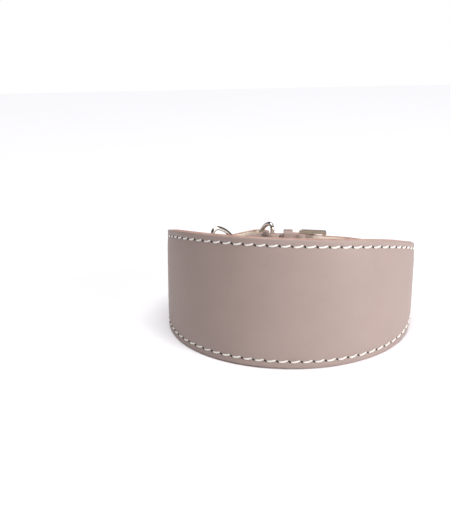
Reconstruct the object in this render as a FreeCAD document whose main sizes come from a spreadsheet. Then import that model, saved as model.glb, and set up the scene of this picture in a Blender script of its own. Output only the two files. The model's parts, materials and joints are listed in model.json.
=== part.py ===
"""Buckled wide leather martingale collar for a sighthound, standing on its lower edge."""
import FreeCAD
import Part
import math
import os

V = FreeCAD.Vector
doc = FreeCAD.newDocument("martingale_collar")

# ---------------------------------------------------------------- driving dimensions
DIMENSIONS = [
    ("collar_radius", 65.5, "outer face of the leather band, from the collar axis"),
    ("front_width", 60.0, "band width at the throat"),
    ("side_width", 41.2, "band width half way round"),
    ("strap_width", 25.0, "width of the narrow ends and straps"),
    ("outer_thickness", 2.2, "taupe outer leather"),
    ("lining_thickness", 2.5, "soft lining, padding included"),
    ("padding_thickness", 1.2, "foam between leather and lining"),
    ("padding_inset", 7.0, "padding edge from the band edge"),
    ("strap_thickness", 2.0, "single strap leather"),
    ("face_gap", 0.1, "gap between a strap and the face it is sewn to"),
    ("gap_angle", 63.5, "left band end, from the centre back"),
    ("right_end_angle", 24.0, "right band end, from the centre back"),
    ("closure_offset", 0.8, "chape and buckle outside the band's outer face"),
    ("wire_diameter", 2.7, "ring wire"),
    ("slide_ring_inner", 30.6, "straight bar of a slide ring, inside"),
    ("leash_ring_inner", 18.0, "straight bar of the leash ring, inside"),
    ("ring_lift", 2.2, "slide ring centre above the strap centre"),
    ("left_fold_angle", 59.0, "left ring fold, from the centre back"),
    ("right_fold_angle", 20.5, "right ring fold, from the centre back"),
    ("left_ring_turn", 47.0, "direction of the left ring, from +X"),
    ("right_ring_turn", 136.4, "direction of the right ring, from +X"),
    ("fold_wall", 1.8, "tab leather round a ring bar"),
    ("loop_bend", 4.2, "inside radius of the pull loop at a ring"),
    ("loop_width", 20.0, "pull loop strap width"),
    ("loop_top", 12.5, "upper edge of the pull loop"),
    ("leash_tab_width", 15.0, "tab that holds the leash ring"),
    ("leash_ring_height", -3.6, "leash ring centre above the strap centre"),
    ("leash_ring_turn", 180.0, "direction of the leash ring, from +X"),
    ("hinge_bar_x", -5.0, "buckle hinge bar"),
    ("buckle_span", 15.0, "hinge bar to end bar"),
    ("buckle_inner", 25.8, "height inside the buckle"),
    ("buckle_wire", 2.4, "side bars of the buckle"),
    ("bar_diameter", 2.8, "hinge bar and end bar"),
    ("prong_diameter", 2.2, "buckle prong"),
    ("prong_slot", 3.4, "slot for the prong, along the bar"),
    ("prong_hole_length", 7.6, "billet hole along the strap"),
    ("billet_clearance", 0.4, "billet clear of bars, folds and keeper"),
    ("billet_tip_angle", 19.0, "billet tip, from the centre back"),
    ("sewn_length", 17.0, "strap sewn over the band end"),
    ("keeper_angle", 11.6, "keeper centre, from the centre back"),
    ("keeper_width", 6.0, "keeper along the strap"),
    ("keeper_wall", 1.6, "keeper leather"),
    ("stitch_pitch", 5.6, "edge seam"),
    ("stitch_length", 4.4, "visible thread of one stitch"),
    ("thread_size", 0.8, "seam thread"),
    ("stitch_inset", 3.2, "seam line from the band edge"),
]
sheet = doc.addObject("Spreadsheet::Sheet", "Dimensions")
for row, (alias, value, note) in enumerate(DIMENSIONS, start=1):
    sheet.set("A%d" % row, alias)
    sheet.set("B%d" % row, str(value))
    sheet.set("C%d" % row, note)
    sheet.setAlias("B%d" % row, alias)
doc.recompute()


def size(alias):
    """Value of one driving dimension."""
    return float(sheet.get(alias))


def polar(radius, angle, height=0.0):
    """Point at an angle in degrees from +X round the collar axis."""
    turn = math.radians(angle)
    return V(radius * math.cos(turn), radius * math.sin(turn), height)


EYE_CLEARANCE = 0.05
SLOT_CLEARANCE = 0.15
R_OUT = size("collar_radius")
R_MID = R_OUT - size("outer_thickness")
R_IN = R_MID - size("lining_thickness")
R_STRAP = R_OUT + size("closure_offset")
STRAP_HALF = size("strap_width") / 2
THICK = size("strap_thickness")
WIRE = size("wire_diameter") / 2
BAR = size("bar_diameter") / 2
OVERSHOOT = 10.0

# ---------------------------------------------------------------- resting pose
BUCKLE_HALF = size("buckle_inner") / 2 + size("buckle_wire")


def edge_arc():
    """Upper edge of the band seen from the side: an arc through its throat, side and end."""
    end_y = R_OUT * math.cos(math.radians(size("gap_angle")))
    throat = V(0, -R_OUT, size("front_width") / 2)
    side = V(0, 0, size("side_width") / 2)
    return Part.Arc(throat, side, V(0, end_y, STRAP_HALF)).toShape().Curve


EDGE = edge_arc()


def half_width(y):
    """Half the band width where the band stands at this depth."""
    centre = EDGE.Center
    radius = EDGE.Radius
    if y >= R_OUT * math.cos(math.radians(size("gap_angle"))):
        return STRAP_HALF
    return centre.z + math.sqrt(radius ** 2 - (y - centre.y) ** 2)


def lowest(tilt, points):
    """Lowest of some (depth, height) points once the collar leans back."""
    return min(z * math.cos(tilt) - y * math.sin(tilt) for y, z in points)


def lean():
    """Lean at which the throat edge and the buckle reach the same floor."""
    front = []
    for step in range(0, 91):
        y = -R_OUT * math.cos(math.radians(step))
        front.append((y, -half_width(y)))
    back = [(R_STRAP + BAR, -BUCKLE_HALF)]
    low, high = 0.0, math.radians(20)
    for _ in range(60):
        middle = (low + high) / 2
        if lowest(middle, front) < lowest(middle, back):
            low = middle
        else:
            high = middle
    return low


LEAN = lean()
TILT = FreeCAD.Placement(V(0, 0, 0), FreeCAD.Rotation(V(1, 0, 0), -math.degrees(LEAN)))
parts = []


def finish_part(obj, label):
    """Names a sub-part and adds it to the list of sub-parts."""
    obj.Label = label
    parts.append(obj)
    return obj


def helper(kind, name, bindings):
    """A Part primitive whose sizes are bound to the sheet."""
    obj = doc.addObject(kind, name)
    for prop, expression in bindings.items():
        obj.setExpression(prop, expression)
    return obj


def shape_part(label, shape):
    """A sub-part whose shape is worked out here from the sheet."""
    obj = doc.addObject("Part::Feature", label)
    obj.Shape = shape
    return finish_part(obj, label)


# ---------------------------------------------------------------- band: leather, padding, lining
def sector(name, outer, inner, height, start, sweep):
    """Ring sector: two bound cylinders, one cut from the other."""
    turn = FreeCAD.Rotation(V(0, 0, 1), start)
    big = helper("Part::Cylinder", name + "_outer",
                 {"Radius": outer, "Height": height, "Angle": sweep})
    small = helper("Part::Cylinder", name + "_inner",
                   {"Radius": inner, "Height": height, "Angle": sweep})
    doc.recompute()
    for obj in (big, small):
        obj.Placement = FreeCAD.Placement(V(0, 0, -obj.Height.Value / 2), turn)
    cut = doc.addObject("Part::Cut", name)
    cut.Base = big
    cut.Tool = small
    return cut


def side_profile(name, inset):
    """Closed outline of the band seen from the side, pushed through it."""
    sketch = doc.addObject("Sketcher::SketchObject", name + "_outline")
    sketch.Placement = FreeCAD.Placement(V(-R_OUT - OVERSHOOT, 0, 0),
                                         FreeCAD.Rotation(V(1, 1, 1), 120))
    end_y = R_OUT * math.cos(math.radians(size("gap_angle")))
    front = -R_OUT - OVERSHOOT
    back = R_OUT + OVERSHOOT
    ends = [V(front, half_width(front) - inset, 0), V(end_y, STRAP_HALF - inset, 0)]
    middle = V(0, half_width(0) - inset, 0)
    for side in (1, -1):
        flip = [V(p.x, side * p.y, 0) for p in (ends[0], middle, ends[1])]
        sketch.addGeometry(Part.Arc(*flip))
        sketch.addGeometry(Part.LineSegment(flip[2], V(back, flip[2].y, 0)))
    sketch.addGeometry(Part.LineSegment(V(front, -ends[0].y, 0), V(front, ends[0].y, 0)))
    sketch.addGeometry(Part.LineSegment(V(back, ends[1].y, 0), V(back, -ends[1].y, 0)))
    push = doc.addObject("Part::Extrusion", name)
    push.Base = sketch
    push.DirMode = "Custom"
    push.Dir = V(1, 0, 0)
    push.Solid = True
    push.LengthFwd = 2 * (R_OUT + OVERSHOOT)
    return push


def band(label, outer, inner, inset, end_inset):
    """One layer of the band: a ring sector trimmed to the side outline."""
    angle = size("gap_angle") + end_inset
    ring = sector(label + "_ring", outer, inner, "Dimensions.front_width + 20", 90 + angle,
                  "360 - Dimensions.gap_angle - Dimensions.right_end_angle - %g" % (2 * end_inset))
    trim = doc.addObject("Part::Common", label)
    trim.Base = ring
    trim.Tool = side_profile(label + "_side", inset)
    return finish_part(trim, label)


D = "Dimensions."
LEATHER_BACK = D + "collar_radius - " + D + "outer_thickness"
LINING_FACE = LEATHER_BACK + " - " + D + "lining_thickness"
PADDING_FACE = LEATHER_BACK + " - " + D + "padding_thickness"
END_INSET = 6.0
band("outer_leather", D + "collar_radius", LEATHER_BACK, 0.0, 0.0)
band("padding", LEATHER_BACK, PADDING_FACE, size("padding_inset"), END_INSET)
lining_blank = band("lining_blank", LEATHER_BACK, LINING_FACE, 0.0, 0.0)
padding_room = band("padding_room", LEATHER_BACK, PADDING_FACE, size("padding_inset"), END_INSET)
parts = parts[:-2]
pocket = doc.addObject("Part::Cut", "lining")
pocket.Base = lining_blank
pocket.Tool = padding_room
finish_part(pocket, "lining")


# ---------------------------------------------------------------- rings
def ring_place(fold, turn, height):
    """Puts a D ring's straight bar on its fold, its bow towards an angle from +X."""
    stand = FreeCAD.Rotation(V(0, 0, 1), turn).multiply(FreeCAD.Rotation(V(1, 0, 0), 90))
    return FreeCAD.Placement(V(fold.x, fold.y, height), stand)


def d_ring(label, inner, fold, turn, height):
    """D ring: a half torus, a straight bar and two welded corners."""
    radius = "(%s + %swire_diameter) / 2" % (inner, D)
    wire = D + "wire_diameter / 2"
    place = ring_place(fold, turn, height)
    bow = helper("Part::Torus", label + "_bow", {"Radius1": radius, "Radius2": wire})
    bow.Angle3 = 180
    bow.Placement = place.multiply(FreeCAD.Placement(V(0, 0, 0), FreeCAD.Rotation(V(0, 0, 1), -90)))
    bar = helper("Part::Cylinder", label + "_bar", {"Radius": wire, "Height": "2 * " + radius})
    doc.recompute()
    reach = bow.Radius1.Value
    bar.Placement = FreeCAD.Placement(V(fold.x, fold.y, height - reach), FreeCAD.Rotation())
    corners = []
    for end, side in (("top", 1), ("bottom", -1)):
        ball = helper("Part::Sphere", "%s_%s" % (label, end), {"Radius": wire})
        ball.Placement.Base = V(fold.x, fold.y, height + side * reach)
        corners.append(ball)
    fuse = doc.addObject("Part::MultiFuse", label)
    fuse.Shapes = [bow, bar] + corners
    finish_part(fuse, label)
    return reach


FOLD_LEFT = polar((R_OUT + R_IN) / 2, 90 + size("left_fold_angle"))
FOLD_RIGHT = polar(R_STRAP, 90 + size("right_fold_angle"))
RING_HIGH = size("ring_lift")
reach_left = d_ring("left_slide_ring", D + "slide_ring_inner", FOLD_LEFT,
                    size("left_ring_turn"), RING_HIGH)
reach_right = d_ring("right_slide_ring", D + "slide_ring_inner", FOLD_RIGHT,
                     size("right_ring_turn"), RING_HIGH)
CROWN_LEFT = FOLD_LEFT + polar(reach_left, size("left_ring_turn"))
CROWN_RIGHT = FOLD_RIGHT + polar(reach_right, size("right_ring_turn"))


# ---------------------------------------------------------------- straps as upright ribbons
def block(face_wire, width, centre):
    """Upright solid of some width from a closed outline in the collar's plane."""
    face = Part.Face(face_wire)
    face.translate(V(0, 0, centre - width / 2))
    return face.extrude(V(0, 0, width))


def arc_block(r_low, r_high, start, stop, width, centre=0.0):
    """Upright ring sector between two radii and two angles."""
    middle = (start + stop) / 2
    inner = Part.Arc(polar(r_low, start), polar(r_low, middle), polar(r_low, stop))
    outer = Part.Arc(polar(r_high, stop), polar(r_high, middle), polar(r_high, start))
    edges = [inner.toShape(), Part.makeLine(polar(r_low, stop), polar(r_high, stop)),
             outer.toShape(), Part.makeLine(polar(r_high, start), polar(r_low, start))]
    return block(Part.Wire(edges), width, centre)


def post(centre, radius, width, height=0.0):
    """Upright round post."""
    return Part.makeCylinder(radius, width, V(centre.x, centre.y, height - width / 2))


def ribbon(mid_points, thickness, width, centre=0.0):
    """Upright strap that follows a smooth line, with a side at each half thickness."""
    line = Part.BSplineCurve()
    line.interpolate(mid_points)
    first, last = line.FirstParameter, line.LastParameter
    sides = []
    for side in (-0.5, 0.5):
        samples = []
        for step in range(61):
            at = first + (last - first) * step / 60
            along = line.tangent(at)[0]
            across = V(-along.y, along.x, 0)
            samples.append(line.value(at) + across * (side * thickness))
        curve = Part.BSplineCurve()
        curve.interpolate(samples)
        sides.append(curve)
    caps = [Part.makeLine(sides[0].EndPoint, sides[1].EndPoint),
            Part.makeLine(sides[1].StartPoint, sides[0].StartPoint)]
    wire = Part.Wire([sides[0].toShape(), caps[0], sides[1].toShape(), caps[1]])
    return block(wire, width, centre)


# left end tab: one strap round the ring bar, sewn to both faces of the band end
WALL = size("fold_wall")
GAP = size("face_gap")
tab_high = R_OUT + GAP + WALL
tab_low = R_IN - GAP - WALL
tab_bend = (tab_high - tab_low) / 2
tab_start = 90 + size("left_fold_angle")
tab_stop = 90 + size("gap_angle") + math.degrees(size("sewn_length") / R_OUT)
TAB_FOLD = polar((tab_high + tab_low) / 2, tab_start)
outer_ply = arc_block(tab_high - WALL, tab_high, tab_start, tab_stop, size("strap_width"))
inner_ply = arc_block(tab_low, tab_low + WALL, tab_start, tab_stop, size("strap_width"))
bend = post(TAB_FOLD, tab_bend, size("strap_width")).cut(
    post(TAB_FOLD, tab_bend - WALL, 2 * size("strap_width")))
slack = arc_block(tab_low + WALL, tab_high - WALL, tab_start, tab_stop, 2 * size("strap_width"))
left_tab = bend.cut(slack).fuse([outer_ply, inner_ply]).removeSplitter()
shape_part("left_end_tab", left_tab)

# chape: doubled strap from the right ring to the buckle's hinge bar
HINGE = V(size("hinge_bar_x"), R_STRAP, 0)
END_BAR = V(size("hinge_bar_x") + size("buckle_span"), R_STRAP, 0)
hinge_angle = math.degrees(math.atan2(HINGE.y, HINGE.x))
chape_stop = 90 + size("right_fold_angle")
ring_hole = WIRE + SLOT_CLEARANCE
bar_hole = BAR + EYE_CLEARANCE
chape = arc_block(R_STRAP - THICK, R_STRAP + THICK, hinge_angle, chape_stop, size("strap_width"))
chape = chape.fuse([post(FOLD_RIGHT, ring_hole + THICK, size("strap_width")),
                    post(HINGE, bar_hole + THICK, size("strap_width"))])
chape = chape.cut(post(FOLD_RIGHT, ring_hole, 2 * size("strap_width")))
chape = chape.cut(post(HINGE, bar_hole, 2 * size("strap_width")))
SLOT_PAST_FOLD = 2.0
slot_reach = bar_hole + THICK + SLOT_PAST_FOLD
chape = chape.cut(post(HINGE, slot_reach, size("prong_slot")))
shape_part("chape_strap", chape.removeSplitter())

# billet: from the right band end, inside the end bar, out over the hinge bar, to the tip
CLEAR = size("billet_clearance")
sewn_radius = R_OUT + GAP + THICK / 2
neck_radius = math.hypot(END_BAR.x, END_BAR.y - BAR - CLEAR - THICK / 2)
over_radius = R_STRAP + bar_hole + THICK + CLEAR + THICK / 2
band_end = 90 - size("right_end_angle")
end_bar_angle = math.degrees(math.atan2(END_BAR.y, END_BAR.x))
flat_stop = end_bar_angle + 1.2
sewn_start = band_end - math.degrees(size("sewn_length") / R_OUT)
dip_start = band_end + 1.0
dip_stop = end_bar_angle - 1.0
route = [(sewn_radius, sewn_start + (band_end - sewn_start) * step) for step in (0, 0.5, 1)]
for step in (0.2, 0.5, 0.8, 1.0):
    ease = (1 - math.cos(math.pi * step)) / 2
    route.append((sewn_radius + (neck_radius - sewn_radius) * ease,
                  dip_start + (dip_stop - dip_start) * step))
rise_stop = hinge_angle + 0.3
for step in (0.3, 0.5, 0.7, 1.0):
    ease = (1 - math.cos(math.pi * step)) / 2
    route.append((neck_radius + (over_radius - neck_radius) * ease,
                  flat_stop + (rise_stop - flat_stop) * step))
tip_angle = 90 + size("billet_tip_angle")
for step in (0.35, 0.7, 1.0):
    route.append((over_radius, rise_stop + (tip_angle - rise_stop) * step))
billet = ribbon([polar(r, a) for r, a in route], THICK, size("strap_width"))
tip_keep_angle = tip_angle - math.degrees(STRAP_HALF / over_radius)
tip_zone = arc_block(over_radius - 3, over_radius + 3, tip_keep_angle, tip_angle + 6,
                     2 * size("strap_width"))
tip_round = Part.makeCylinder(STRAP_HALF, 12, polar(over_radius - 6, tip_keep_angle),
                              polar(1, tip_keep_angle))
billet = billet.cut(tip_zone.cut(tip_round))
HOLE_FROM_HINGE = 4.1
hole_x = size("hinge_bar_x") + HOLE_FROM_HINGE
hole = Part.makeBox(size("prong_hole_length"), 12, size("prong_slot"),
                    V(hole_x - size("prong_hole_length") / 2, R_STRAP - 5, -size("prong_slot") / 2))
billet = billet.cut(hole)
shape_part("billet_strap", billet)

# ---------------------------------------------------------------- buckle and prong
frame_wire = size("buckle_wire")
frame_height = size("buckle_inner")
outer_frame = Part.makeBox(size("buckle_span") + 2 * BAR, 2 * BAR, frame_height + 2 * frame_wire,
                           V(HINGE.x - BAR, R_STRAP - BAR, -BUCKLE_HALF))
window = Part.makeBox(size("buckle_span"), 4 * BAR, frame_height,
                      V(HINGE.x, R_STRAP - 2 * BAR, -frame_height / 2))
frame = outer_frame.cut(window)
for bar_centre in (HINGE, END_BAR):
    cover = Part.makeBox(2 * BAR, 4 * BAR, frame_height,
                         V(bar_centre.x - BAR, R_STRAP - 2 * BAR, -frame_height / 2))
    frame = frame.cut(cover).fuse(post(bar_centre, BAR, frame_height))
corner_edges = [e for e in frame.Edges
                if abs(e.Length - 2 * BAR) < 1e-3 and abs(abs(e.CenterOfMass.z) - BUCKLE_HALF) < 1e-3
                and abs(e.CenterOfMass.y - R_STRAP) < 1e-3]
frame = frame.makeFillet(min(2.0, frame_wire * 0.8), corner_edges).removeSplitter()
shape_part("buckle_frame", frame)

PRONG = size("prong_diameter") / 2
eye_hole = bar_hole
EYE_WALL = 1.1
eye = post(HINGE, eye_hole + EYE_WALL, 2 * PRONG)
tip_y = R_STRAP + BAR + PRONG + 0.05
knuckles = [V(HINGE.x + 1.9, HINGE.y + 1.9, 0), V(HINGE.x + 6.2, tip_y + 1.5, 0),
            V(END_BAR.x + 2.0, tip_y, 0)]
prong = eye
for first, second in zip(knuckles, knuckles[1:]):
    run = second - first
    prong = prong.fuse(Part.makeCylinder(PRONG, run.Length, first, run))
for knuckle in knuckles:
    prong = prong.fuse(Part.makeSphere(PRONG, knuckle))
prong = prong.cut(post(HINGE, eye_hole, 10))
shape_part("buckle_prong", prong)

# ---------------------------------------------------------------- keeper
keeper_turn = 90 + size("keeper_angle")
keeper_half = math.degrees(size("keeper_width") / 2 / R_STRAP)
inside_low = R_STRAP - THICK - CLEAR
inside_high = over_radius + THICK / 2 + CLEAR
wall = size("keeper_wall")
keeper_inside = size("strap_width") + 2 * CLEAR
keeper = arc_block(inside_low - wall, inside_high + wall, keeper_turn - keeper_half,
                   keeper_turn + keeper_half, keeper_inside + 2 * wall)
keeper = keeper.cut(arc_block(inside_low, inside_high, keeper_turn - 2 * keeper_half,
                              keeper_turn + 2 * keeper_half, keeper_inside))
shape_part("strap_keeper", keeper)

# ---------------------------------------------------------------- pull loop and leash ring
loop_middle_z = size("loop_top") - size("loop_width") / 2
BEND = size("loop_bend")
BOW_SAG = 1.9
LOOP_LEFT = CROWN_LEFT - polar(BOW_SAG, size("left_ring_turn"))
LOOP_RIGHT = CROWN_RIGHT - polar(BOW_SAG, size("right_ring_turn"))
along = (LOOP_RIGHT - LOOP_LEFT).normalize()
outward = V(-along.y, along.x, 0)


def racetrack(radius, width):
    """Upright closed loop outline round the two ring crowns."""
    corners = [LOOP_LEFT - outward * radius, LOOP_RIGHT - outward * radius,
               LOOP_RIGHT + outward * radius, LOOP_LEFT + outward * radius]
    round_right = Part.Arc(corners[1], LOOP_RIGHT + along * radius, corners[2])
    round_left = Part.Arc(corners[3], LOOP_LEFT - along * radius, corners[0])
    edges = [Part.makeLine(corners[0], corners[1]), round_right.toShape(),
             Part.makeLine(corners[2], corners[3]), round_left.toShape()]
    return block(Part.Wire(edges), width, loop_middle_z)


loop = racetrack(BEND + THICK, size("loop_width")).cut(racetrack(BEND, 2 * size("loop_width")))
shape_part("pull_loop", loop)

leash_width = size("leash_tab_width")
leash_high = size("leash_ring_height")
plate_face = BEND + THICK + GAP
loop_centre = (LOOP_LEFT + LOOP_RIGHT) * 0.5
LEASH_FOLD = loop_centre + outward * (plate_face + WALL + WIRE + SLOT_CLEARANCE)
PLATE_HALF = 8.0
plate = Part.makeBox(2 * PLATE_HALF, WALL, leash_width, V(-PLATE_HALF, 0, -leash_width / 2))
plate.Placement = FreeCAD.Placement(
    loop_centre + outward * plate_face + V(0, 0, leash_high),
    FreeCAD.Rotation(V(1, 0, 0), along).multiply(FreeCAD.Rotation()))
leash_tab = plate.fuse(post(LEASH_FOLD, WIRE + SLOT_CLEARANCE + WALL, leash_width, leash_high))
trim_box = Part.makeBox(40, 20, 40, V(-20, -20, -20))
trim_box.Placement = FreeCAD.Placement(loop_centre + outward * plate_face + V(0, 0, leash_high),
                                       FreeCAD.Rotation(V(1, 0, 0), along))
leash_tab = leash_tab.cut(trim_box)
leash_tab = leash_tab.cut(post(LEASH_FOLD, WIRE + SLOT_CLEARANCE, 40, leash_high))
shape_part("leash_ring_tab", leash_tab.removeSplitter())
d_ring("leash_ring", D + "leash_ring_inner", LEASH_FOLD, size("leash_ring_turn"), leash_high)

# ---------------------------------------------------------------- seams
THREAD = size("thread_size")
STITCH = size("stitch_length")
PITCH = size("stitch_pitch")
FACE_LIFT = 0.02
THREAD_RISE = 0.5


def stitch_on(surface, angle, height, slope, side):
    """One thread run lying on an upright round face, outside (1) or inside (-1)."""
    thread = Part.makeBox(STITCH, THREAD_RISE, THREAD, V(-STITCH / 2, 0, -THREAD / 2))
    thread.rotate(V(0, 0, 0), V(0, 1, 0), -slope)
    sag = STITCH ** 2 / 8 / surface
    lift = FACE_LIFT if side > 0 else -(THREAD_RISE + sag + FACE_LIFT)
    thread.translate(V(0, surface + lift, height))
    thread.rotate(V(0, 0, 0), V(0, 0, 1), angle - 90)
    return thread


def band_seam(sign):
    """Seam along the upper (1) or lower (-1) band edge, on both faces."""
    step = math.degrees(PITCH / R_OUT)
    # the seam stops short of the straps that are sewn over the band ends
    sewn = math.degrees(size("sewn_length") / R_OUT) + 2.5
    arc = 360 - size("gap_angle") - size("right_end_angle") - 2 * sewn
    count = int(arc / step)
    start = 90 + size("gap_angle") + sewn + (arc - count * step) / 2 + step / 2
    solids = []
    for index in range(count):
        angle = start + index * step
        y = R_OUT * math.sin(math.radians(angle))
        slope = math.degrees(math.atan2(half_width(y + 0.5) - half_width(y - 0.5), 1.0))
        tangent = slope * math.cos(math.radians(angle)) * sign
        height = sign * (half_width(y) - size("stitch_inset"))
        solids.append(stitch_on(R_OUT, angle, height, -tangent + 8, 1))
        solids.append(stitch_on(R_IN, angle, height, -tangent + 8, -1))
    return Part.makeCompound(solids)


def row_seam(surface, start, stop, height, side=1):
    """A straight row of stitches on a round face between two angles."""
    step = math.degrees(PITCH / surface)
    count = max(1, int((stop - start) / step))
    pad = (stop - start - count * step) / 2 + step / 2
    return [stitch_on(surface, start + pad + step * i, height, 0, side) for i in range(count)]


shape_part("upper_edge_stitching", band_seam(1))
shape_part("lower_edge_stitching", band_seam(-1))

ROW_INSET = 3.0
EDGE_ROW = STRAP_HALF - ROW_INSET
tab_rows = []
for row_high in (EDGE_ROW, -EDGE_ROW):
    tab_rows += row_seam(tab_high, tab_start + 5, tab_stop - 1, row_high)
shape_part("left_tab_stitching", Part.makeCompound(tab_rows))

billet_rows = []
for row_high in (EDGE_ROW, -EDGE_ROW):
    billet_rows += row_seam(R_OUT + GAP + THICK + 0.03, sewn_start + 1, band_end - 1.5, row_high)
shape_part("billet_stitching", Part.makeCompound(billet_rows))

SEAM_FROM_FOLD = 1.2
chape_seam = 90 + size("right_fold_angle") - math.degrees(
    (ring_hole + THICK + SEAM_FROM_FOLD) / R_STRAP)
chape_rows = []
for index in (-1.5, -0.5, 0.5, 1.5):
    for face, side in ((R_STRAP + THICK, 1), (R_STRAP - THICK, -1)):
        chape_rows.append(stitch_on(face, chape_seam, index * PITCH, 90, side))
shape_part("chape_stitching", Part.makeCompound(chape_rows))


def plate_stitches():
    """Two stitches each side of the leash ring fold, on the tab's face."""
    solids = []
    for shift in (-PLATE_HALF + 2.4, PLATE_HALF - 2.4):
        for high in (-leash_width / 2 + 2.2, leash_width / 2 - 2.2):
            thread = Part.makeBox(3.2, THREAD_RISE, THREAD, V(-1.6, 0, -THREAD / 2))
            base = loop_centre + outward * (plate_face + WALL + FACE_LIFT) + along * shift
            thread.Placement = FreeCAD.Placement(base + V(0, 0, leash_high + high),
                                                 FreeCAD.Rotation(V(1, 0, 0), along))
            solids.append(thread)
    return Part.makeCompound(solids)


shape_part("leash_tab_stitching", plate_stitches())

# ---------------------------------------------------------------- rest pose, checks and files
doc.recompute()
boxes = [obj.Shape.transformed(TILT.toMatrix()).optimalBoundingBox(False) for obj in parts]
low = min(box.ZMin for box in boxes)
shift = V(-(min(b.XMin for b in boxes) + max(b.XMax for b in boxes)) / 2,
          -(min(b.YMin for b in boxes) + max(b.YMax for b in boxes)) / 2, -low)
REST = FreeCAD.Placement(shift, TILT.Rotation)
for obj in parts:
    obj.Placement = REST.multiply(obj.Placement)
doc.recompute()

for obj in doc.Objects:
    bad = [state for state in obj.State if state in ("Invalid", "Error")]
    if bad:
        raise RuntimeError("%s is %s" % (obj.Label, bad))
os.makedirs("parts", exist_ok=True)
for obj in parts:
    if obj.Shape.isNull() or not obj.Shape.isValid():
        raise RuntimeError("%s has no valid shape" % obj.Label)
    obj.Shape.exportStep("parts/%s.step" % obj.Label)
    print("%-22s solids %3d volume %9.1f" % (obj.Label, len(obj.Shape.Solids), obj.Shape.Volume))

for name, point in (("left_fold", FOLD_LEFT), ("right_fold", FOLD_RIGHT),
                    ("crown_left", CROWN_LEFT), ("crown_right", CROWN_RIGHT),
                    ("leash_fold", LEASH_FOLD), ("hinge", HINGE), ("axis", V(0, 0, 0))):
    at = REST.multVec(point)
    print("%s %.5f %.5f %.5f" % (name, at.x / 1000, at.y / 1000, at.z / 1000))
print("lean %.4f" % math.degrees(LEAN))
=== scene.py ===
# %% [markdown]
# # A wide leather martingale collar
# The collar is a padded leather band that stands on its lower edge, with a buckle, two slide rings
# and a pull loop behind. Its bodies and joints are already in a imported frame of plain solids. They
# could be painted as they are, but leather needs round edges, seams and folds, so this lesson
# builds new soft pieces round the same joints and keeps the hard buckle.

# %% Load the frame
import json
import math

import bmesh
import bpy
from mathutils import Matrix, Vector


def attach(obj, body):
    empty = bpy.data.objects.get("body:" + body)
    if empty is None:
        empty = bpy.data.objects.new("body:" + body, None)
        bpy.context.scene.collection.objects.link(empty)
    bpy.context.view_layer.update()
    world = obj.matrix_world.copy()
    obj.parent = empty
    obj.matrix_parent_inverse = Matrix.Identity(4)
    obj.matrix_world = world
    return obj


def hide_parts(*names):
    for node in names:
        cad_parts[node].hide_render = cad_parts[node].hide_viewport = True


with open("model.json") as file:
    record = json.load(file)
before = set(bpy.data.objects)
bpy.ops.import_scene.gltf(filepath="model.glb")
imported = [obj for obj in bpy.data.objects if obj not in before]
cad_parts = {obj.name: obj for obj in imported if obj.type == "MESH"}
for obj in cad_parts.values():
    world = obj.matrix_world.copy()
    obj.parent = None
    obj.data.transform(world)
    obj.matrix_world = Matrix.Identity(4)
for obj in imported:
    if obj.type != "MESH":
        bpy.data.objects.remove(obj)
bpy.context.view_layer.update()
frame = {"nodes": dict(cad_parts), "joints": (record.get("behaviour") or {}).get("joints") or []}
NODES = frame["nodes"]
JOINTS = {joint["name"]: joint for joint in frame["joints"]}

# %% [markdown]
# The collar leans back a little, because its throat is wider than its ends. Every piece is easier
# to think about in the collar's own frame, with the neck along Z, so one matrix carries that frame
# to the floor. The matrix could be typed in, but the keeper slides round the neck, so its joint
# already gives the axis and the two can never disagree.

# %% The collar's own frame
MM = 0.001
AXIS_POINT = Vector(JOINTS["keeper_slide"]["pos_m"])
AXIS_DIRECTION = Vector(JOINTS["keeper_slide"]["axis"])
LEAN = math.atan2(AXIS_DIRECTION.y, AXIS_DIRECTION.z)
STAND = Matrix.Translation(AXIS_POINT) @ Matrix.Rotation(-LEAN, 4, "X")
TO_COLLAR = STAND.inverted()


def pivot(joint):
    """A joint's centre in the collar's own frame, at strap height."""
    point = TO_COLLAR @ Vector(JOINTS[joint]["pos_m"])
    return Vector((point.x, point.y, 0))


def polar(radius, degrees, height=0.0):
    """A point round the neck axis, in degrees from +X."""
    turn = math.radians(degrees)
    return Vector((radius * math.cos(turn), radius * math.sin(turn), height))


def bearing(point):
    """The angle of a point round the neck axis, in degrees."""
    return math.degrees(math.atan2(point.y, point.x))


FOLD_LEFT, FOLD_RIGHT = pivot("left_ring_swing"), pivot("right_ring_swing")
HINGE = pivot("prong_lift")
LEASH_FOLD = pivot("leash_ring_swing")
print("lean of the collar: %.2f degrees" % math.degrees(LEAN))

# %% Sizes of the leather
R_OUT = 65.5 * MM
OUTER_LEATHER = 2.2 * MM
LINING = 2.5 * MM
R_MID = R_OUT - OUTER_LEATHER
R_IN = R_MID - LINING
FRONT_HALF, SIDE_HALF, STRAP_HALF = 30.0 * MM, 20.6 * MM, 12.5 * MM
BACK = 90.0
GAP_LEFT, GAP_RIGHT = 63.5, 24.0
LEFT_END, RIGHT_END = BACK + GAP_LEFT, BACK - GAP_RIGHT
SEWN = 17.0 * MM
LEFT_RING_TURN, RIGHT_RING_TURN, LEASH_RING_TURN = 47.0, 136.4, 180.0
RING_BOW, LEASH_BOW = 16.65 * MM, 10.35 * MM
RING_LIFT, LEASH_LIFT = 2.2 * MM, -3.6 * MM
BOW_SAG = 1.9 * MM
STRAP = 2.0 * MM
WIRE = 1.35 * MM
SEAM = 3.2 * MM
R_STRAP = math.hypot(FOLD_RIGHT.x, FOLD_RIGHT.y)


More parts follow.
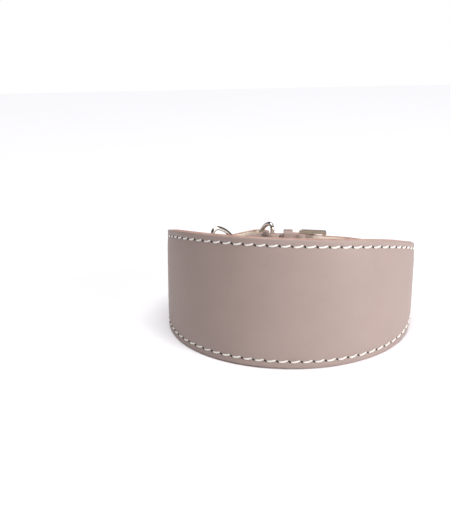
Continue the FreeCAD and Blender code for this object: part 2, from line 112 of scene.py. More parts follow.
def circle_through(a, b, c):
    """Centre and radius of the circle through three flat points."""
    ax, ay, bx, by, cx, cy = *a, *b, *c
    area = 2 * (ax * (by - cy) + bx * (cy - ay) + cx * (ay - by))
    a2, b2, c2 = ax**2 + ay**2, bx**2 + by**2, cx**2 + cy**2
    middle_x = (a2 * (by - cy) + b2 * (cy - ay) + c2 * (ay - by)) / area
    middle_y = (a2 * (cx - bx) + b2 * (ax - cx) + c2 * (bx - ax)) / area
    return middle_x, middle_y, math.hypot(ax - middle_x, ay - middle_y)


END_Y = R_OUT * math.cos(math.radians(GAP_LEFT))
EDGE_Y, EDGE_Z, EDGE_R = circle_through((-R_OUT, FRONT_HALF), (0, SIDE_HALF),
                                        (END_Y, STRAP_HALF))


def half_width(y):
    """Half the band's width at a depth: an arc over the throat, then the plain strap."""
    if y >= END_Y:
        return STRAP_HALF
    return EDGE_Z + math.sqrt(EDGE_R**2 - (y - EDGE_Y) ** 2)


print("band half width, throat to end: %.1f %.1f %.1f mm"
      % tuple(half_width(y) / MM for y in (-R_OUT, 0, END_Y)))

# %% [markdown]
# ## Materials
# A real finish is a sum of small layers: clouding, pores, nap, rubbed spots. Their nodes could be
# placed one by one, which hides the sum in wiring. Here a little class wraps a node socket, so
# that `grain * 0.3 + cloud` adds the Math nodes by itself and the recipe stays on one line.


# %% Shader arithmetic
class Value:
    """A number socket that adds Math nodes when it is used in an expression."""

    def __init__(self, shop, socket):
        self.shop, self.socket = shop, socket

    def _math(self, operation, *inputs):
        node = self.shop.node("ShaderNodeMath", {"operation": operation}, {})
        for index, item in enumerate(inputs):
            self.shop.feed(node.inputs[index], item)
        return Value(self.shop, node.outputs[0])

    def __add__(self, other):
        return self._math("ADD", self, other)

    def __mul__(self, other):
        return self._math("MULTIPLY", self, other)

    def ramp(self, low, high):
        """0 below low, 1 above high, smooth between."""
        node = self.shop.node("ShaderNodeMapRange", {"interpolation_type": "SMOOTHSTEP"}, {})
        for name, item in (("Value", self), ("From Min", low), ("From Max", high)):
            self.shop.feed(node.inputs[name], item)
        return Value(self.shop, node.outputs[0])

    __radd__ = __add__
    __rmul__ = __mul__


SOCKETS = {"roughness": "Roughness", "metallic": "Metallic", "ior": "IOR",
           "sheen": "Sheen Weight", "sheen_roughness": "Sheen Roughness"}


class Finish:
    """One material and its node tree."""

    def __init__(self, name, **shader):
        self.material = bpy.data.materials.new(name)
        self.material.use_nodes = True
        self.tree = self.material.node_tree
        self.shader = self.tree.nodes["Principled BSDF"]
        for socket, item in shader.items():
            self.shader.inputs[SOCKETS[socket]].default_value = item
        self.place = self.node("ShaderNodeTexCoord", {}, {}).outputs["Object"]

    def feed(self, socket, item):
        if isinstance(item, Value):
            item = item.socket
        if isinstance(item, bpy.types.NodeSocket):
            self.tree.links.new(item, socket)
        else:
            socket.default_value = item

    def node(self, kind, settings, inputs):
        made = self.tree.nodes.new(kind)
        for name, item in settings.items():
            setattr(made, name, item)
        for name, item in inputs.items():
            self.feed(made.inputs[name], item)
        return made

    def noise(self, scale, detail=4.0, rough=0.55, stretch=None):
        """Cloudy noise, its scale in features per metre."""
        where = self.place
        if stretch:
            mapping = self.node("ShaderNodeMapping", {}, {"Vector": where, "Scale": stretch})
            where = mapping.outputs[0]
        made = self.node("ShaderNodeTexNoise", {}, {"Vector": where, "Scale": scale,
                                                    "Detail": detail, "Roughness": rough})
        return Value(self, made.outputs[0])

    def cells(self, scale):
        """Distance to the nearest of many scattered points, for pores."""
        made = self.node("ShaderNodeTexVoronoi", {}, {"Vector": self.place, "Scale": scale})
        return Value(self, made.outputs["Distance"])

    def mix(self, amount, low, high):
        """One colour where the amount is 0, the other where it is 1."""
        made = self.node("ShaderNodeMix", {"data_type": "RGBA"}, {})
        for index, item in ((0, amount), (6, low), (7, high)):
            self.feed(made.inputs[index], item)
        return made.outputs[2]

    def out(self, socket, item):
        self.feed(self.shader.inputs[socket], item)

    def bump(self, height, depth, strength=1.0):
        made = self.node("ShaderNodeBump", {}, {"Height": height, "Distance": depth,
                                                "Strength": strength})
        self.out("Normal", made.outputs[0])


def colour(red, green, blue):
    """A colour given as it looks on a screen, 0 to 255, for the shader."""
    return tuple(((c / 255 + 0.055) / 1.055) ** 2.4 if c > 10 else c / 255 / 12.92
                 for c in (red, green, blue)) + (1.0,)


# %% [markdown]
# The outer leather is smooth calf: very fine pebbles about a third of a millimetre across, faint
# clouding and a soft satin gloss. Pebbles could be modelled, but they are far finer than any
# vertex, so cells in the bump carry them. Colour varies by only a few percent. The cut edge is
# raw and fibrous, and the suede gets a sheen for its nap.


# %% Leather, its cut edge, and suede
def taupe_leather():
    """Smooth satin calf."""
    finish = Finish("taupe_leather", roughness=0.5, ior=1.45)
    cloud = finish.noise(45, 5)
    pores = finish.cells(2600)
    fine = finish.noise(1500, 3)
    tint = finish.mix(cloud.ramp(0.25, 0.75), colour(157, 138, 131), colour(162, 143, 136))
    speck = finish.noise(900, 2).ramp(0.62, 0.78)
    finish.out("Base Color", finish.mix(speck * 0.3, tint, colour(145, 126, 119)))
    finish.out("Roughness", 0.44 + cloud * 0.14 + fine * 0.06)
    finish.bump(pores * 0.7 + fine * 0.5, 0.00012, 0.55)
    return finish.material


def cut_edge():
    """Raw fibres where a strap is cut."""
    finish = Finish("cut_edge", roughness=0.8)
    fibre = finish.noise(1400, 5, 0.7)
    layers = finish.noise(260, 3)
    tint = finish.mix(layers.ramp(0.35, 0.65), colour(172, 132, 120), colour(192, 157, 145))
    finish.out("Base Color", finish.mix(fibre.ramp(0.5, 0.75) * 0.6, tint, colour(208, 176, 162)))
    finish.bump(fibre, 0.0003, 0.8)
    return finish.material


def suede_lining():
    """Cream suede with a soft nap."""
    finish = Finish("suede_lining", roughness=0.95, sheen=0.35, sheen_roughness=0.5)
    nap = finish.noise(2200, 6, 0.75)
    patch = finish.noise(70, 4)
    tint = finish.mix(patch.ramp(0.3, 0.7), colour(234, 221, 203), colour(240, 229, 213))
    finish.out("Base Color", finish.mix(nap.ramp(0.45, 0.7) * 0.4, tint, colour(214, 198, 176)))
    finish.bump(nap + patch * 0.3, 0.0004, 0.8)
    return finish.material


def thread_finish():
    """Thick waxed off-white thread."""
    finish = Finish("waxed_thread", roughness=0.62)
    twist = finish.noise(2600, 3, 0.6)
    finish.out("Base Color", finish.mix(twist.ramp(0.35, 0.7), colour(232, 227, 219),
                                        colour(253, 251, 247)))
    finish.bump(twist, 0.00025, 0.9)
    return finish.material


def painted_hole_shade():
    """Painted shade: a dark colour for the shaded inside of a stitch hole."""
    finish = Finish("painted_hole_shade", roughness=0.9)
    # The near-black colour is painted shade for the hole's recess; the noise only varies how dark it
    # is.
    hole_shade_noise = finish.noise(2400, 2)
    finish.out("Base Color", finish.mix(hole_shade_noise, colour(20, 15, 13), colour(48, 37, 32)))
    return finish.material


def nickel():
    """Bright plate, a little hazed and rubbed."""
    finish = Finish("nickel_plate", metallic=1.0, roughness=0.2)
    haze = finish.noise(160, 4)
    rub = finish.noise(900, 3, stretch=(1, 1, 0.2))
    tint = finish.mix(haze.ramp(0.35, 0.7), colour(214, 208, 202), colour(190, 178, 166))
    finish.out("Base Color", tint)
    finish.out("Roughness", 0.16 + haze * 0.12 + rub.ramp(0.55, 0.8) * 0.12)
    finish.bump(rub, 0.00004, 0.4)
    return finish.material


LEATHER, CUT, SUEDE = taupe_leather(), cut_edge(), suede_lining()
# The stitch-hole material is painted shade, a dark colour standing in for the shaded recess of each
# hole.
THREAD, HOLE_SHADE, NICKEL = thread_finish(), painted_hole_shade(), nickel()
STRAP_MATERIALS = (LEATHER, CUT, SUEDE)
print("materials:", len(bpy.data.materials))

# %% [markdown]
# ## Sweeping a strap
# Every leather part is a flat strap that follows some line. It could be a beveled curve, but then
# the cut edges and the flesh side could not have their own material. Here one outline is extruded
# edge by edge from one station to the next, and each face knows its side. A station is a matrix:
# its X points away from the strap's face, its Y along the width, its Z where the strap is going.


# %% Stations, outlines and the sweep
def station(point, going, across, width_axis):
    """The matrix of one station of a strap."""
    turned = Matrix((across, width_axis, going)).transposed().to_4x4()
    return Matrix.Translation(point) @ turned


def flat_path(points, closed=False, width_axis=Vector((0, 0, 1))):
    """Stations along points, with the strap's grain side to the right of the way it goes."""
    stations = []
    count = len(points)
    for index, point in enumerate(points):
        before = points[index - 1] if index or closed else point
        after = points[(index + 1) % count] if index < count - 1 or closed else point
        going = (after - before).normalized()
        stations.append(station(point, going, going.cross(width_axis), width_axis))
    return stations


def arc_points(centre, radius, start, stop, count):
    """Points on an arc in the collar's plane."""
    return [centre + polar(radius, start + (stop - start) * i / (count - 1)) for i in range(count)]


def strap_outline(thick, width, slot=0.0, dip=0.0):
    """A strap's cross-section with rounded arrises, and the material of each of its sides."""
    half_t, half_w = thick / 2, width / 2
    arris = min(0.6 * MM, thick * 0.3)
    across = [half_w - arris]
    if dip:
        across += [half_w - SEAM + 1.0 * MM, half_w - SEAM, half_w - SEAM - 1.0 * MM]
    across += [across[-1] * 0.5, slot / 2] if slot else [across[-1] * 0.6, across[-1] * 0.25]
    half = [(half_t - (dip if abs(z - half_w + SEAM) < 0.01 * MM else 0.0), z) for z in across]
    half = half[::-1] + [(half_t - arris * 0.3, half_w - arris * 0.3), (half_t - arris, half_w),
                         (-half_t + arris, half_w), (-half_t + arris * 0.3, half_w - arris * 0.3),
                         (-half_t, half_w - arris)]
    marks = [0] * (len(across) + 1) + [1, 1, 1]
    if slot:
        half.append((-half_t, slot / 2))
        marks.append(2)
    mirrored = [(x, -z) for x, z in reversed(half)]
    return half + mirrored, marks + [2] + marks[::-1] + [0]


def sweep(name, outline, marks, stations, closed=False, slot=0.0, cut=(), materials=None):
    """Extrudes an outline through its stations, and opens a slot between two of them."""
    work = bmesh.new()
    spot = work.verts.layers.int.new("spot")
    along = work.verts.layers.int.new("along")
    ring = []
    for index, (x, y) in enumerate(outline):
        vert = work.verts.new(stations[0] @ Vector((x, y, 0)))
        vert[spot] = index
        ring.append(vert)
    first = [work.edges.new((a, b)) for a, b in zip(ring, ring[1:] + ring[:1])]
    edges = first
    for step, (here, there) in enumerate(zip(stations, stations[1:]), start=1):
        made = bmesh.ops.extrude_edge_only(work, edges=edges)["geom"]
        verts = [item for item in made if isinstance(item, bmesh.types.BMVert)]
        edges = [item for item in made if isinstance(item, bmesh.types.BMEdge)
                 and all(vert in set(verts) for vert in item.verts)]
        bmesh.ops.transform(work, matrix=there @ here.inverted(), verts=verts)
        for vert in verts:
            vert[along] = step
    if closed:
        bmesh.ops.bridge_loops(work, edges=edges + first)
    else:
        for loop in (first, edges):
            bmesh.ops.contextual_create(work, geom=loop)
    last = len(outline) - 1
    opened = []
    for face in work.faces:
        spots = sorted({vert[spot] for vert in face.verts})
        steps = {vert[along] for vert in face.verts}
        side = last if spots[0] == 0 and spots[-1] == last else spots[0]
        face.material_index = marks[side] if len(spots) == 2 else 1
        face.smooth = len(spots) == 2
        narrow = all(abs(outline[index][1]) <= slot / 2 + 0.01 * MM for index in spots)
        if cut and narrow and cut[0] <= min(steps) and max(steps) <= cut[1]:
            opened.append(face)
    if opened:
        bmesh.ops.delete(work, geom=opened, context="FACES")
        walls = [edge for edge in work.edges if edge.is_boundary]
        for face in bmesh.ops.bridge_loops(work, edges=walls)["faces"]:
            face.material_index = 1
    bmesh.ops.recalc_face_normals(work, faces=work.faces)
    return settle(name, work, materials or STRAP_MATERIALS)


def settle(name, work, materials):
    """Turns a bmesh in the collar's frame into an object that stands on the floor."""
    mesh = bpy.data.meshes.new(name)
    work.transform(STAND)
    work.to_mesh(mesh)
    work.free()
    piece = bpy.data.objects.new(name, mesh)
    bpy.context.scene.collection.objects.link(piece)
    for material in materials:
        mesh.materials.append(material)
    return piece


def finish_piece(piece, body, slot, *replaced):
    """Gives a piece its body and hides the nodes that it stands for. The slot is not used."""
    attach(piece, body)
    if replaced:
        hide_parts(*replaced)
    print("%-24s %6d faces" % (piece.name, len(piece.data.polygons)))


# %% [markdown]
# ## The band
# Two layers make the band: the taupe outer leather and a cream suede lining that swells over thin
# felt. A cylinder cut to the edge line would have a sharp, ragged rim. Instead an outline with
# round arrises and a seam groove is spun round the neck, and each point is then moved up or down
# to the arc that narrows the band. The outline keeps its distance from the edge, so the groove
# runs parallel to it.

# %% Band layers
BAND_STEPS = 168


def band_outline(low, high, puff, grain_out):
    """Outline of one layer as (radius, distance from the edge, upper or lower side)."""
    arris = 0.55 * MM
    drops = [0.0, 0.12 * MM, arris, 1.6 * MM, 2.5 * MM, SEAM, 3.9 * MM, 5.2 * MM, 8.5 * MM]
    shape = []
    for drop in drops:
        edge = max(0.0, 1 - drop / arris)
        dip = 0.28 * MM * math.exp(-((drop - SEAM) / (0.75 * MM)) ** 2)
        fill = puff * min(1.0, max(0.0, (drop - SEAM) / (5.5 * MM)))
        shape.append((arris * 0.8 * edge**2 + dip - fill, drop))
    outline = []
    face = high if grain_out else low
    sign = -1 if grain_out else 1
    for side in (1, -1):
        rows = shape if side > 0 else list(reversed(shape))
        for give, drop in rows:
            outline.append((face + sign * give, drop, side))
        if side > 0:
            middle = face - sign * puff
            for share in (0.5, 0.25, 0.0, -0.25, -0.5):
                outline.append((middle, None, share))
    back = low if grain_out else high
    for side in (-1, 1):
        outline.append((back, 0.05 * MM, side))
    return outline


def make_band(name, low, high, puff, grain_out, face_material):
    """One layer of the band between two radii, its face swollen between the seams."""
    outline = band_outline(low, high, puff, grain_out)
    work = bmesh.new()
    spot = work.verts.layers.int.new("spot")
    ring = []
    for index, (radius, _, side) in enumerate(outline):
        vert = work.verts.new(polar(radius, LEFT_END, side * MM))
        vert[spot] = index
        ring.append(vert)
    edges = [work.edges.new((a, b)) for a, b in zip(ring, ring[1:] + ring[:1])]
    swept = math.radians(360 - LEFT_END + RIGHT_END)
    bmesh.ops.spin(work, geom=ring + edges, cent=(0, 0, 0), axis=(0, 0, 1), angle=swept,
                   steps=BAND_STEPS, use_merge=False, use_duplicate=False)
    for vert in work.verts:
        radius, drop, side = outline[vert[spot]]
        half = half_width(vert.co.y * R_OUT / vert.co.xy.length)
        vert.co.z = side * (half - drop) if drop is not None else side * (half - 8.5 * MM) * 1.6
    ends = [edge for edge in work.edges if edge.is_boundary]
    bmesh.ops.holes_fill(work, edges=ends, sides=0)
    count = len(outline)
    arris_spots = {0, 1, count - 4, count - 3, count - 2, count - 1}
    for face in work.faces:
        spots = {vert[spot] for vert in face.verts}
        face.material_index = 1 if len(spots) > 2 or spots <= arris_spots else 0
        if spots == {count - 2, count - 1}:
            face.material_index = 2
        face.smooth = len(spots) == 2
    bmesh.ops.recalc_face_normals(work, faces=work.faces)
    return settle(name, work, (face_material, CUT, SUEDE))


outer = make_band("band_outer_leather", R_MID, R_OUT, 0.25 * MM, True, LEATHER)
finish_piece(outer, "collar", "taupe_leather", "outer_leather")
lining = make_band("band_lining", R_IN, R_MID - 0.05 * MM, 0.7 * MM, False, SUEDE)
finish_piece(lining, "collar", "suede_lining", "lining", "padding")

# %% [markdown]
# ## Stitches
# A saddle stitch shows as short slanted threads with an awl hole between them. A texture could
# draw it, but the threads stand proud and catch the light. So one stitch is a stretched ball with
# a slight S bend, and a seam repeats it at the seam's pitch. A few dozen faces each are enough,
# because there are hundreds.

# %% One stitch, and a seam of them
PITCH = 5.6 * MM
STITCH = 4.9 * MM
THREAD_R = 0.4 * MM
SLANT = -11.0
SEAM_STOP = 1.5


def add_ball(work, place, size, material, segments=10, rings=6):
    """A small stretched ball at a place."""
    stretch = Matrix.Diagonal((*size, 1.0))
    made = bmesh.ops.create_uvsphere(work, u_segments=segments, v_segments=rings, radius=1.0,
                                     matrix=place @ stretch @ Matrix.Rotation(math.pi / 2, 4, "Y"))
    for vert in made["verts"]:
        for face in vert.link_faces:
            face.material_index = material
            face.smooth = True
    return made["verts"]


def add_stitch(work, place, length=STITCH, slant=SLANT):
    """One thread run along X on a face whose outward side is Y, and a small dark ball at its end:
    painted shade for the hole.
    """
    turned = place @ Matrix.Rotation(math.radians(-slant), 4, "Y")
    verts = add_ball(work, turned, (length / 2, THREAD_R * 0.9, THREAD_R), 0)
    inverse = turned.inverted()
    for vert in verts:
        local = inverse @ vert.co
        share = abs(local.x) / (length / 2)
        full = 1.0 + 0.5 * share**2 if share < 0.93 else 1.0
        local.y *= full
        local.z = local.z * full - 0.16 * MM * math.cos(math.pi * share)
        local.y -= 0.28 * MM * share**3
        vert.co = turned @ local
    hole = place @ Matrix.Translation((PITCH / 2, 0.0, 0.0))
    hole = hole @ Matrix.Rotation(math.radians(-42), 4, "Y")
    # A flat dark ball paints the shade inside the awl hole.
    add_ball(work, hole, (0.86 * MM, 0.16 * MM, 0.36 * MM), 1, 8, 6)


def upright_face(radius, degrees, height, side):
    """A place on an upright round face: X runs along it, Y away from it."""
    outward = polar(side, degrees)
    along = Vector((-outward.y, outward.x, 0)) * -1
    turned = Matrix((along, outward, along.cross(outward))).transposed().to_4x4()
    return Matrix.Translation(polar(radius, degrees, height)) @ turned


def band_seam(name, upper, node):
    """The seam near one edge, on the leather face and on the lining."""
    work = bmesh.new()
    sewn = math.degrees(SEWN / R_OUT) + SEAM_STOP
    start, stop = LEFT_END + sewn, 360 + RIGHT_END - sewn
    step = math.degrees(PITCH / R_OUT)
    count = int((stop - start) / step)
    for index in range(count):
        degrees = start + step * (index + 0.5)
        y = R_OUT * math.sin(math.radians(degrees))
        height = upper * (half_width(y) - SEAM)
        rise = (half_width(y + 0.5 * MM) - half_width(y - 0.5 * MM)) / MM
        slope = math.degrees(math.atan(rise * math.cos(math.radians(degrees)))) * upper
        for radius, side in ((R_OUT - 0.16 * MM, 1), (R_IN + 0.05 * MM, -1)):
            place = upright_face(radius, degrees, height, side)
            drop = Vector((0, 0, 1)).dot(place.to_3x3() @ Vector((0, 0, 1)))
            turned = place @ Matrix.Rotation(math.radians(slope) * side * drop, 4, "Y")
            add_stitch(work, turned, slant=SLANT * drop)
    piece = settle(name, work, (THREAD, HOLE_SHADE))
    finish_piece(piece, "collar", "thread", node)


band_seam("seam_upper", 1, "upper_edge_stitching")
band_seam("seam_lower", -1, "lower_edge_stitching")

# %% [markdown]
# ## Straps behind the neck
# A folded strap holds each slide ring: a single tab sewn over the band's left end, and the doubled
# chape that also holds the buckle. They could be bent with a modifier, but the folds are tight
# and have to fit a ring's bar. Both are sweeps of the same outline, so each is only a list of
# points, and the prong's slot is opened between two stations.

# %% Left tab and chape
def place_on(point, along, outward):
    """A place for a stitch: X runs along it, Y away from the leather."""
    turned = Matrix((along, outward, along.cross(outward))).transposed().to_4x4()
    return Matrix.Translation(point) @ turned


def seam_piece(name, body, node, places, length=3.6 * MM):
    """A short seam on a strap, with a thread and a dark ball of painted shade for the hole at every
    place.
    """
    work = bmesh.new()
    for place in places:
        add_stitch(work, place, length, slant=SLANT * 0.5)
    finish_piece(settle(name, work, (THREAD, HOLE_SHADE)), body, "thread", node)


def row(radius, start, stop, height, side, pitch=4.4 * MM):
    """Places of a level row of stitches on an upright round face."""
    count = max(1, int(math.radians(abs(stop - start)) * radius / pitch))
    step = (stop - start) / count
    return [upright_face(radius, start + step * (i + 0.5), height, side) for i in range(count)]


def column(point, outward, low, high, pitch=4.4 * MM):
    """Places of an upright column of stitches."""
    count = max(1, round((high - low) / pitch))
    step = (high - low) / count
    return [place_on(point + Vector((0, 0, low + step * (i + 0.5))), Vector((0, 0, 1)), outward)
            for i in range(count)]


TAB_WALL = 1.8 * MM
TAB_HIGH, TAB_LOW = R_OUT + 1.0 * MM, R_IN - 1.0 * MM
TAB_START = bearing(FOLD_LEFT)
TAB_STOP = LEFT_END + math.degrees(SEWN / R_OUT)
tab_points = arc_points(Vector(), TAB_LOW, TAB_STOP, TAB_START, 14)
tab_points += arc_points(FOLD_LEFT, (TAB_HIGH - TAB_LOW) / 2, TAB_START - 180, TAB_START, 15)[1:-1]
tab_points += arc_points(Vector(), TAB_HIGH, TAB_START, TAB_STOP, 14)
outline, marks = strap_outline(TAB_WALL, 2 * STRAP_HALF, dip=0.2 * MM)
finish_piece(sweep("left_tab", outline, marks, flat_path(tab_points)), "collar", "taupe_leather",
             "left_end_tab")
tab_rows = []
for height in (STRAP_HALF - SEAM, SEAM - STRAP_HALF):
    for radius, side in ((TAB_HIGH + 0.75 * MM, 1), (TAB_LOW - 0.75 * MM, -1)):
        tab_rows += row(radius, TAB_START + 5, TAB_STOP - 1.5, height, side)
for radius, side in ((TAB_HIGH + 0.85 * MM, 1), (TAB_LOW - 0.85 * MM, -1)):
    for degrees in (TAB_START + 5.2, TAB_STOP - 1.6):
        tab_rows += column(polar(radius, degrees), polar(side, degrees), -8 * MM, 8 * MM)
seam_piece("left_tab_seam", "collar", "left_tab_stitching", tab_rows)

HINGE_TURN, RING_TURN = bearing(HINGE), bearing(FOLD_RIGHT)
EYE = 2.5 * MM
FLAT, ROUND = 14, 20
NECK = 3.1
chape_from, chape_to = HINGE_TURN + NECK, RING_TURN - NECK
chape_points = arc_points(Vector(), R_STRAP + STRAP / 2, chape_from, chape_to, FLAT)
chape_points += arc_points(FOLD_RIGHT, EYE, RING_TURN - 50, RING_TURN + 230, ROUND)
chape_points += arc_points(Vector(), R_STRAP - STRAP / 2, chape_to, chape_from, FLAT)
chape_points += arc_points(HINGE, EYE, HINGE_TURN + 130, HINGE_TURN + 410, ROUND)
slot_from, slot_to = FLAT + ROUND + 11, 2 * FLAT + 2 * ROUND - 1
PRONG_SLOT = 3.6 * MM
outline, marks = strap_outline(STRAP, 2 * STRAP_HALF, slot=PRONG_SLOT)
chape = sweep("chape", outline, marks, flat_path(chape_points, closed=True), closed=True,
              slot=PRONG_SLOT, cut=(slot_from, slot_to))
finish_piece(chape, "collar", "taupe_leather", "chape_strap")
chape_places = []
for radius, side in ((R_STRAP + STRAP, 1), (R_STRAP - STRAP, -1)):
    chape_places += column(polar(radius, RING_TURN - 4.2), polar(side, RING_TURN - 4.2),
                           -10 * MM, 10 * MM)
seam_piece("chape_seam", "collar", "chape_stitching", chape_places)

# %% [markdown]
# The billet is the tongue that sets the neck size. It is sewn to the band's right end, passes
# inside the end bar, comes out over the hinge bar, and its round tip goes under the keeper. A
# cloth simulation could drape it, but stiff leather hardly sags, so its distance from the neck
# axis is simply eased between three heights. The stations shrink at the tip to round it.

# %% Billet and keeper
BILLET_SEWN, BILLET_NECK, BILLET_OVER = R_OUT + 1.1 * MM, 64.28 * MM, 71.15 * MM
BILLET_START, BILLET_TIP = 51.1, 109.0
DIP_START, DIP_SPAN = 67.0, 13.4
RISE_START, RISE_SPAN = 82.6, 12.0
TIP_ROUND = math.degrees(STRAP_HALF / BILLET_OVER)


def ease(share):
    """0 to 1 with a soft start and stop."""
    return (1 - math.cos(math.pi * min(1.0, max(0.0, share)))) / 2


def billet_radius(degrees):
    """How far out the billet's middle runs at an angle round the neck."""
    if degrees < RISE_START:
        share = ease((degrees - DIP_START) / DIP_SPAN)
        return BILLET_SEWN + (BILLET_NECK - BILLET_SEWN) * share
    share = ease((degrees - RISE_START) / RISE_SPAN)
    return BILLET_NECK + (BILLET_OVER - BILLET_NECK) * share


BILLET_COUNT = 74
billet_angles = [BILLET_START + (BILLET_TIP - BILLET_START) * i / (BILLET_COUNT - 1)
                 for i in range(BILLET_COUNT)]
billet_stations = flat_path([polar(billet_radius(d), d) for d in billet_angles])
for index, degrees in enumerate(billet_angles):
    into_tip = max(0.0, degrees - (BILLET_TIP - TIP_ROUND)) / TIP_ROUND
    narrow = max(0.12, math.sqrt(max(0.0, 1 - into_tip**2)))
    billet_stations[index] = billet_stations[index] @ Matrix.Diagonal((1, narrow, 1, 1))
outline, marks = strap_outline(STRAP, 2 * STRAP_HALF, slot=PRONG_SLOT)
HOLE_FROM, HOLE_TO = -4.7 * MM, 2.9 * MM
hole_steps = [i for i, d in enumerate(billet_angles)
              if HOLE_FROM < polar(billet_radius(d), d).x < HOLE_TO]
billet = sweep("billet", outline, marks, billet_stations, slot=PRONG_SLOT,
               cut=(hole_steps[0], hole_steps[-1]))
finish_piece(billet, "collar", "taupe_leather", "billet_strap")
billet_places = []
for height in (STRAP_HALF - SEAM, SEAM - STRAP_HALF):
    billet_places += row(BILLET_SEWN + STRAP / 2, 53, 65.5, height, 1)
billet_places += column(polar(BILLET_SEWN + STRAP / 2, 52.4), polar(1, 52.4), -8 * MM, 8 * MM)
seam_piece("billet_seam", "collar", "billet_stitching", billet_places)

KEEPER_TURN = 101.6
KEEPER_LOW, KEEPER_HIGH, KEEPER_Z = 63.1 * MM, 73.35 * MM, 13.7 * MM
KEEPER_BEND = 1.6 * MM
keeper_points = []
for radius, height, turn in ((KEEPER_HIGH, KEEPER_Z, 0), (KEEPER_LOW, KEEPER_Z, 90),
                             (KEEPER_LOW, -KEEPER_Z, 180), (KEEPER_HIGH, -KEEPER_Z, 270)):
    middle = Vector((radius - math.copysign(KEEPER_BEND, radius - 68 * MM),
                     height - math.copysign(KEEPER_BEND, height)))
    for extra in (0, 22.5, 45, 67.5, 90):
        angle = math.radians(turn + extra)
        keeper_points.append(polar(middle.x + KEEPER_BEND * math.cos(angle), KEEPER_TURN,
                                   middle.y + KEEPER_BEND * math.sin(angle)))
keeper_axis = polar(1, KEEPER_TURN).cross(Vector((0, 0, 1)))
outline, marks = strap_outline(1.6 * MM, 6.0 * MM)
keeper = sweep("keeper", outline, marks, flat_path(keeper_points, True, keeper_axis), closed=True)
finish_piece(keeper, "keeper", "taupe_leather", "strap_keeper")

# %% [markdown]
# The pull loop is one strap that runs round both ring crowns, and pulling it draws the collar
# closed. A short tab on its outer run holds the leash ring. A bent torus would do for the loop,
# but a racetrack of stations keeps its two runs flat between the rings, as stiff leather is.

# %% Pull loop and leash tab
LOOP_LEFT = pivot("pull_loop_swing") - polar(BOW_SAG, LEFT_RING_TURN)
LOOP_RIGHT = FOLD_RIGHT + polar(RING_BOW - BOW_SAG, RIGHT_RING_TURN)
LOOP_ALONG = (LOOP_RIGHT - LOOP_LEFT).normalized()
LOOP_OUTWARD = Vector((-LOOP_ALONG.y, LOOP_ALONG.x, 0))
LOOP_BEND, LOOP_Z = 5.2 * MM, 2.5 * MM
lift = Vector((0, 0, LOOP_Z))
turn = bearing(LOOP_OUTWARD)
loop_points = arc_points(LOOP_LEFT + lift, LOOP_BEND, turn, turn + 180, 16)
loop_points += [loop_points[-1].lerp(LOOP_RIGHT + lift - LOOP_OUTWARD * LOOP_BEND, i / 6)
                for i in range(1, 6)]
loop_points += arc_points(LOOP_RIGHT + lift, LOOP_BEND, turn - 180, turn, 16)
loop_points += [loop_points[-1].lerp(loop_points[0], i / 6) for i in range(1, 6)]
outline, marks = strap_outline(STRAP, 20 * MM)
finish_piece(sweep("pull_loop_leather", outline, marks, flat_path(loop_points, True), closed=True),
             "loop", "taupe_leather", "pull_loop")

LOOP_MIDDLE = (LOOP_LEFT + LOOP_RIGHT) / 2 + Vector((0, 0, LEASH_LIFT))


def on_loop(along, outward):
    """A point in the loop's own directions, in millimetres from its middle."""
    return LOOP_MIDDLE + LOOP_ALONG * (along * MM) + LOOP_OUTWARD * (outward * MM)


flap = [on_loop(x, y) for x, y in ((8, 7.2), (6, 7.2), (4.2, 7.2), (3.2, 7.3), (2.6, 7.75))]
flap += [on_loop(2.42 * math.cos(a), 9.6 + 2.42 * math.sin(a))
         for a in (math.radians(-24 + 12 * i) for i in range(20))]
flap += [on_loop(x, y) for x, y in ((-2.6, 7.75), (-3.2, 7.3), (-4.2, 7.2), (-6, 7.2), (-8, 7.2))]
outline, marks = strap_outline(TAB_WALL, 15 * MM)
finish_piece(sweep("leash_tab", outline, marks, flat_path(flap)), "loop", "taupe_leather",
             "leash_ring_tab")
leash_places = []
for along in (5.9, -5.9):
    leash_places += column(on_loop(along, 8.12), LOOP_OUTWARD, -6 * MM, 6 * MM)
seam_piece("leash_tab_seam", "loop", "leash_tab_stitching", leash_places)

# %% [markdown]
# ## Camera and light
# The collar stands on white in soft light from the right, so the left of the band falls into
# shade. A bright world alone would light it evenly. Instead the world is white for the camera
# only, a broad overhead sun whitens the floor, and one area light makes the gradient.

# %% Camera, floor and light
CAMERA_TURN = 17.0
CAMERA_RISE = 11.5
CAMERA_ROLL = 0.1
CAMERA_BACK = 345 * MM
CAMERA_ASIDE = 34.7 * MM
CAMERA_UP = 5.5 * MM
LENS = 42.75


def aim_camera():
    """Looks at the collar a little from its right and from above."""
    rise = math.radians(CAMERA_RISE)
    across, forward = Vector((1, 0, 0)), Vector((0, math.cos(rise), -math.sin(rise)))
    up = across.cross(forward)
    eye = -across * CAMERA_ASIDE - forward * CAMERA_BACK + up * CAMERA_UP
    axes = Matrix((across, up, -forward)).transposed().to_4x4()
    view = Matrix.Translation(eye) @ axes @ Matrix.Rotation(math.radians(CAMERA_ROLL), 4, "Z")
    data = bpy.data.cameras.new("camera")
    data.lens = LENS
    data.sensor_width = 36.0
    camera = bpy.data.objects.new("camera", data)
    bpy.context.scene.collection.objects.link(camera)
    camera.matrix_world = STAND @ Matrix.Rotation(math.radians(CAMERA_TURN), 4, "Z") @ view
    bpy.context.scene.camera = camera


def pale_floor():
    """A wide floor, nearly white."""
    work = bmesh.new()
    bmesh.ops.create_grid(work, x_segments=1, y_segments=1, size=3.0)
    mesh = bpy.data.meshes.new("floor")
    work.to_mesh(mesh)
    work.free()
    floor = bpy.data.objects.new("floor", mesh)
    bpy.context.scene.collection.objects.link(floor)
    finish = Finish("pale_floor", roughness=0.7)
    cool, pale = (0.95, 0.94, 0.97, 1), (0.97, 0.96, 0.99, 1)
    finish.out("Base Color", finish.mix(finish.noise(6, 2), cool, pale))
    mesh.materials.append(finish.material)


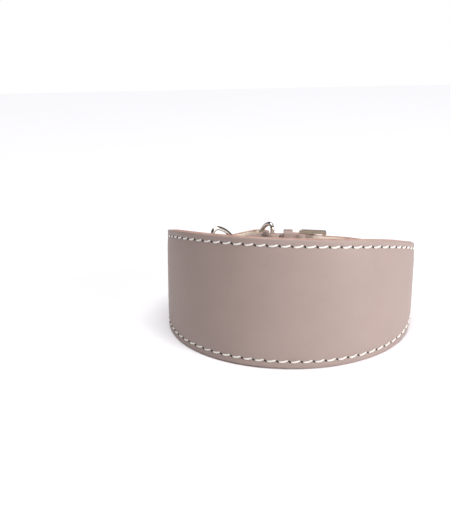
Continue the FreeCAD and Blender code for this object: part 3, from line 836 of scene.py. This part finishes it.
def soft_light(name, place, aim, size, power):
    """A square light that points from one place at another."""
    data = bpy.data.lights.new(name, "AREA")
    data.energy, data.size = power, size
    light = bpy.data.objects.new(name, data)
    bpy.context.scene.collection.objects.link(light)
    light.location = place
    light.rotation_euler = (Vector(aim) - Vector(place)).to_track_quat("-Z", "Y").to_euler()


def white_studio():
    """A white backdrop for the camera, and a softer fill for the leather and metal."""
    world = bpy.data.worlds.new("studio")
    bpy.context.scene.world = world
    world.use_nodes = True
    tree = world.node_tree
    fill = tree.nodes["Background"]
    fill.inputs[0].default_value, fill.inputs[1].default_value = (1, 1, 1, 1), FILL
    backdrop = tree.nodes.new("ShaderNodeBackground")
    backdrop.inputs[0].default_value, backdrop.inputs[1].default_value = (1, 1, 1, 1), 1.0
    seen = tree.nodes.new("ShaderNodeLightPath")
    either = tree.nodes.new("ShaderNodeMixShader")
    tree.links.new(seen.outputs["Is Camera Ray"], either.inputs[0])
    tree.links.new(fill.outputs[0], either.inputs[1])
    tree.links.new(backdrop.outputs[0], either.inputs[2])
    tree.links.new(either.outputs[0], tree.nodes["World Output"].inputs[0])


def sky(energy, softness):
    """A broad overhead light that keeps the floor evenly white."""
    data = bpy.data.lights.new("overhead", "SUN")
    data.energy, data.angle = energy, math.radians(softness)
    light = bpy.data.objects.new("overhead", data)
    bpy.context.scene.collection.objects.link(light)


FILL = 0.12
aim_camera()
pale_floor()
white_studio()
sky(3.0, 50)
soft_light("key_right", (0.82, -0.4, 0.3), (0, 0, 0.03), 0.4, 6.8)
bpy.context.scene.view_settings.view_transform = "Standard"

# %% [markdown]
# ## Metal
# A D ring is bent from one wire, so its two corners are round. Half a torus and a cylinder would
# leave sharp corners, so the wire is a sweep too: up the straight bar, round a corner, along the
# bow, round the other corner and back. The buckle is cast and already right, so it keeps its
# solids and only gets smooth shading between sharp edges.

# %% Rings, buckle and prong
CORNER = 3.2 * MM
SIDES = 16


def bent_ring(name, body, fold, turn, height, bow):
    """A D ring on its fold, the bow towards an angle from +X."""
    inward = math.sqrt((bow - CORNER) ** 2 - CORNER**2)
    meets = math.atan2(inward, CORNER)
    flat = [(0.0, inward * i / 4) for i in range(-3, 4)]
    bends = []
    for i in range(8):
        angle = math.pi + (meets - math.pi) * i / 7
        bends.append((CORNER + CORNER * math.cos(angle), inward + CORNER * math.sin(angle)))
    arc = [(bow * math.cos(a), bow * math.sin(a))
           for a in (meets - 2 * meets * i / 40 for i in range(1, 40))]
    lower = [(x, -z) for x, z in reversed(bends)]
    reach, up = polar(1, turn), Vector((0, 0, 1))
    base = Vector((fold.x, fold.y, height))
    points = [base + reach * x + up * z for x, z in flat + bends + arc + lower]
    spokes = [2 * math.pi * i / SIDES for i in range(SIDES)]
    outline = [(WIRE * math.cos(angle), WIRE * math.sin(angle)) for angle in spokes]
    stations = flat_path(points, closed=True, width_axis=reach.cross(up))
    ring = sweep(name + "_wire", outline, [0] * SIDES, stations, closed=True, materials=(NICKEL,))
    finish_piece(ring, body, "nickel", name)


bent_ring("left_slide_ring", "left_ring", FOLD_LEFT, LEFT_RING_TURN, RING_LIFT, RING_BOW)
bent_ring("right_slide_ring", "right_ring", FOLD_RIGHT, RIGHT_RING_TURN, RING_LIFT, RING_BOW)
bent_ring("leash_ring", "leash", LEASH_FOLD, LEASH_RING_TURN, LEASH_LIFT, LEASH_BOW)
for metal in ("buckle_frame", "buckle_prong"):
    mesh = NODES[metal].data
    mesh.materials.clear()
    mesh.materials.append(NICKEL)
    mesh.shade_smooth()
    mesh.set_sharp_from_angle(angle=math.radians(35))
    print(metal, "keeps its CAD shape:", len(mesh.polygons), "faces")
